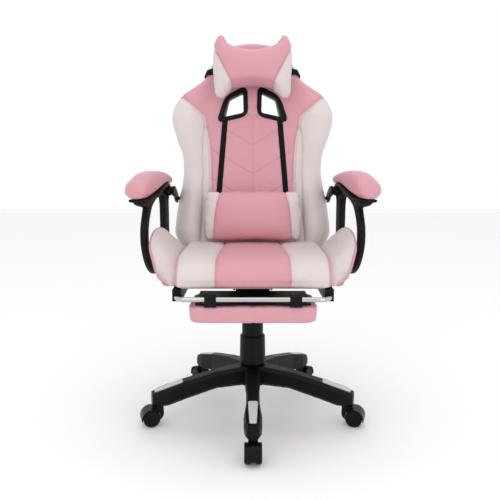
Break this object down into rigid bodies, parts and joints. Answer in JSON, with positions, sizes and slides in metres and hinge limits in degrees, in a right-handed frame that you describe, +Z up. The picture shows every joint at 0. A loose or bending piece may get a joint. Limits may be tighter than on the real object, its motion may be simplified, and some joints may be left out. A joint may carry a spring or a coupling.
{
  "type": "gaming chair",
  "caption": "Swivel chair with a tall reclining back, wing-shaped bolsters, linked loop armrests, pillows, a slide-out footrest and a five-legged base on casters.",
  "frame": {"origin": "on the floor, at the gas lift's axis", "axes": "+Z up, the chair faces -Y, the user's left is +X"},
  "size_m": [0.6996, 0.6599, 1.1856],
  "materials": {
    "base_plastic": "satin black moulding with a fine texture",
    "inlay_silver": "satin silver paint",
    "caster_plastic": "semi-gloss black",
    "steel_bare": "zinc-plated",
    "steel_black": "black powder coat",
    "rod_chrome": "bright chrome",
    "cover_plastic": "satin black",
    "plywood": "raw plywood",
    "board_black": "satin black",
    "leather_white": "smooth synthetic leather",
    "leather_pink": "smooth synthetic leather",
    "arm_plastic": "satin black with soft edges",
    "webbing_black": "woven nylon webbing"
  },
  "bodies": {
    "base": {"star_base": "base_plastic", "base_inlays": "inlay_silver", "gas_cylinder": "steel_black", "lower_dust_cover": "cover_plastic"},
    "lift": {"gas_piston": "rod_chrome"},
    "mechanism": {"mechanism_housing": "steel_black", "upper_dust_cover": "cover_plastic", "tilt_pin": "steel_bare"},
    "tension_knob": {"tension_knob": "cover_plastic"},
    "height_lever": {"height_lever": "steel_black"},
    "seat": {"seat_plate": "steel_black", "seat_board": "plywood", "seat_bolts": "steel_bare", "seat_cushion": "leather_white", "seat_bolster_left": "leather_white", "seat_bolster_right": "leather_white", "recline_seat_plates": "steel_black", "arm_seat_brackets": "steel_black", "pivot_bolts": "steel_bare", "footrest_guides": "steel_black"},
    "footrest_slide": {"footrest_rod": "rod_chrome"},
    "footrest_panel": {"footrest_board": "board_black", "footrest_pad": "leather_pink"},
    "back": {"back_frame": "steel_black", "back_cushion": "leather_pink", "slot_bezels": "arm_plastic", "recline_back_plates": "steel_black", "arm_back_brackets": "steel_black", "lumbar_straps": "webbing_black"},
    "head_pillow": {"head_pillow": "leather_pink", "head_strap": "webbing_black"},
    "lumbar_pillow": {"lumbar_pillow": "leather_pink"},
    "recline_lever": {"recline_lever": "steel_black"},
    "arm_right": {"arm_frame_right": "arm_plastic", "arm_pad_right": "leather_pink"},
    "link_right": {"arm_link_right": "arm_plastic"},
    "arm_left": {"arm_frame_left": "arm_plastic", "arm_pad_left": "leather_pink"},
    "link_left": {"arm_link_left": "arm_plastic"},
    "caster_1": {"caster_1_hood": "caster_plastic", "caster_1_pins": "steel_bare"},
    "caster_1_wheel_a": {"caster_1_wheel_a": "caster_plastic"},
    "caster_1_wheel_b": {"caster_1_wheel_b": "caster_plastic"},
    "caster_2": {"caster_2_hood": "caster_plastic", "caster_2_pins": "steel_bare"},
    "caster_2_wheel_a": {"caster_2_wheel_a": "caster_plastic"},
    "caster_2_wheel_b": {"caster_2_wheel_b": "caster_plastic"},
    "caster_3": {"caster_3_hood": "caster_plastic", "caster_3_pins": "steel_bare"},
    "caster_3_wheel_a": {"caster_3_wheel_a": "caster_plastic"},
    "caster_3_wheel_b": {"caster_3_wheel_b": "caster_plastic"},
    "caster_4": {"caster_4_hood": "caster_plastic", "caster_4_pins": "steel_bare"},
    "caster_4_wheel_a": {"caster_4_wheel_a": "caster_plastic"},
    "caster_4_wheel_b": {"caster_4_wheel_b": "caster_plastic"},
    "caster_5": {"caster_5_hood": "caster_plastic", "caster_5_pins": "steel_bare"},
    "caster_5_wheel_a": {"caster_5_wheel_a": "caster_plastic"},
    "caster_5_wheel_b": {"caster_5_wheel_b": "caster_plastic"}
  },
  "joints": [
    {"name": "seat_height", "type": "slide", "parent": "base", "child": "lift", "axis": [0, 0, 1], "range_m": [-0.08, 0]},
    {"name": "seat_swivel", "type": "hinge", "parent": "lift", "child": "mechanism", "pos_m": [0, 0, 0.39], "axis": [0, 0, 1], "continuous": true},
    {"name": "tension_turn", "type": "hinge", "parent": "mechanism", "child": "tension_knob", "pos_m": [0, -0.057, 0.38], "axis": [0, 0, 1], "continuous": true},
    {"name": "height_lever_lift", "type": "hinge", "parent": "mechanism", "child": "height_lever", "pos_m": [-0.053, 0.022, 0.402], "axis": [0, 1, 0], "range_deg": [0, 5], "stiffness_Nm_per_rad": 3, "springref_deg": -5.73},
    {"name": "seat_tilt", "type": "hinge", "parent": "mechanism", "child": "seat", "pos_m": [0, -0.055, 0.416], "axis": [-1, 0, 0], "range_deg": [0, 12], "stiffness_Nm_per_rad": 150, "springref_deg": -14.32},
    {"name": "footrest_slide", "type": "slide", "parent": "seat", "child": "footrest_slide", "axis": [0, -1, 0], "range_m": [0, 0.2]},
    {"name": "footrest_flip", "type": "hinge", "parent": "footrest_slide", "child": "footrest_panel", "pos_m": [0, -0.276, 0.425], "axis": [-1, 0, 0], "range_deg": [0, 180]},
    {"name": "recline", "type": "hinge", "parent": "seat", "child": "back", "pos_m": [0, 0.15, 0.46], "axis": [-1, 0, 0], "range_deg": [0, 45]},
    {"name": "recline_lever_lift", "type": "hinge", "parent": "seat", "child": "recline_lever", "pos_m": [-0.226, 0.15, 0.46], "axis": [-1, 0, 0], "range_deg": [0, 20], "stiffness_Nm_per_rad": 1, "springref_deg": -11.46},
    {"name": "arm_right_swing", "type": "hinge", "parent": "seat", "child": "arm_right", "pos_m": [-0.26, 0.06, 0.488], "axis": [-1, 0, 0], "range_deg": [0, 45]},
    {"name": "link_right_turn", "type": "hinge", "parent": "arm_right", "child": "link_right", "pos_m": [-0.26, 0.075, 0.69], "axis": [-1, 0, 0], "range_deg": [-45, 0]},
    {"name": "arm_left_swing", "type": "hinge", "parent": "seat", "child": "arm_left", "pos_m": [0.26, 0.06, 0.488], "axis": [-1, 0, 0], "range_deg": [0, 45]},
    {"name": "link_left_turn", "type": "hinge", "parent": "arm_left", "child": "link_left", "pos_m": [0.26, 0.075, 0.69], "axis": [-1, 0, 0], "range_deg": [-45, 0]},
    {"name": "head_pillow_slide", "type": "slide", "parent": "back", "child": "head_pillow", "axis": [0, 0.1736, 0.9848], "range_m": [0, 0.03]},
    {"name": "lumbar_pillow_slide", "type": "slide", "parent": "back", "child": "lumbar_pillow", "axis": [0, 0.1736, 0.9848], "range_m": [0, 0.15]},
    {"name": "caster_1_swivel", "type": "hinge", "parent": "base", "child": "caster_1", "pos_m": [0, -0.299, 0.05], "axis": [0, 0, 1], "continuous": true},
    {"name": "caster_1_roll_a", "type": "hinge", "parent": "caster_1", "child": "caster_1_wheel_a", "pos_m": [0, -0.319, 0.025], "axis": [1, 0, 0], "continuous": true},
    {"name": "caster_1_roll_b", "type": "hinge", "parent": "caster_1", "child": "caster_1_wheel_b", "pos_m": [0, -0.319, 0.025], "axis": [1, 0, 0], "continuous": true},
    {"name": "caster_2_swivel", "type": "hinge", "parent": "base", "child": "caster_2", "pos_m": [0.28437, -0.0924, 0.05], "axis": [0, 0, 1], "continuous": true},
    {"name": "caster_2_roll_a", "type": "hinge", "parent": "caster_2", "child": "caster_2_wheel_a", "pos_m": [0.30339, -0.09858, 0.025], "axis": [0.309, 0.9511, 0], "continuous": true},
    {"name": "caster_2_roll_b", "type": "hinge", "parent": "caster_2", "child": "caster_2_wheel_b", "pos_m": [0.30339, -0.09858, 0.025], "axis": [0.309, 0.9511, 0], "continuous": true},
    {"name": "caster_3_swivel", "type": "hinge", "parent": "base", "child": "caster_3", "pos_m": [0.17575, 0.2419, 0.05], "axis": [0, 0, 1], "continuous": true},
    {"name": "caster_3_roll_a", "type": "hinge", "parent": "caster_3", "child": "caster_3_wheel_a", "pos_m": [0.1875, 0.25808, 0.025], "axis": [-0.809, 0.5878, 0], "continuous": true},
    {"name": "caster_3_roll_b", "type": "hinge", "parent": "caster_3", "child": "caster_3_wheel_b", "pos_m": [0.1875, 0.25808, 0.025], "axis": [-0.809, 0.5878, 0], "continuous": true},
    {"name": "caster_4_swivel", "type": "hinge", "parent": "base", "child": "caster_4", "pos_m": [-0.17575, 0.2419, 0.05], "axis": [0, 0, 1], "continuous": true},
    {"name": "caster_4_roll_a", "type": "hinge", "parent": "caster_4", "child": "caster_4_wheel_a", "pos_m": [-0.1875, 0.25808, 0.025], "axis": [-0.809, -0.5878, 0], "continuous": true},
    {"name": "caster_4_roll_b", "type": "hinge", "parent": "caster_4", "child": "caster_4_wheel_b", "pos_m": [-0.1875, 0.25808, 0.025], "axis": [-0.809, -0.5878, 0], "continuous": true},
    {"name": "caster_5_swivel", "type": "hinge", "parent": "base", "child": "caster_5", "pos_m": [-0.28437, -0.0924, 0.05], "axis": [0, 0, 1], "continuous": true},
    {"name": "caster_5_roll_a", "type": "hinge", "parent": "caster_5", "child": "caster_5_wheel_a", "pos_m": [-0.30339, -0.09858, 0.025], "axis": [0.309, -0.9511, 0], "continuous": true},
    {"name": "caster_5_roll_b", "type": "hinge", "parent": "caster_5", "child": "caster_5_wheel_b", "pos_m": [-0.30339, -0.09858, 0.025], "axis": [0.309, -0.9511, 0], "continuous": true}
  ],
  "couplings": [
    {"joint": "arm_right_swing", "follows": "recline", "ratio": 1},
    {"joint": "link_right_turn", "follows": "recline", "ratio": -1},
    {"joint": "arm_left_swing", "follows": "recline", "ratio": 1},
    {"joint": "link_left_turn", "follows": "recline", "ratio": -1}
  ]
}
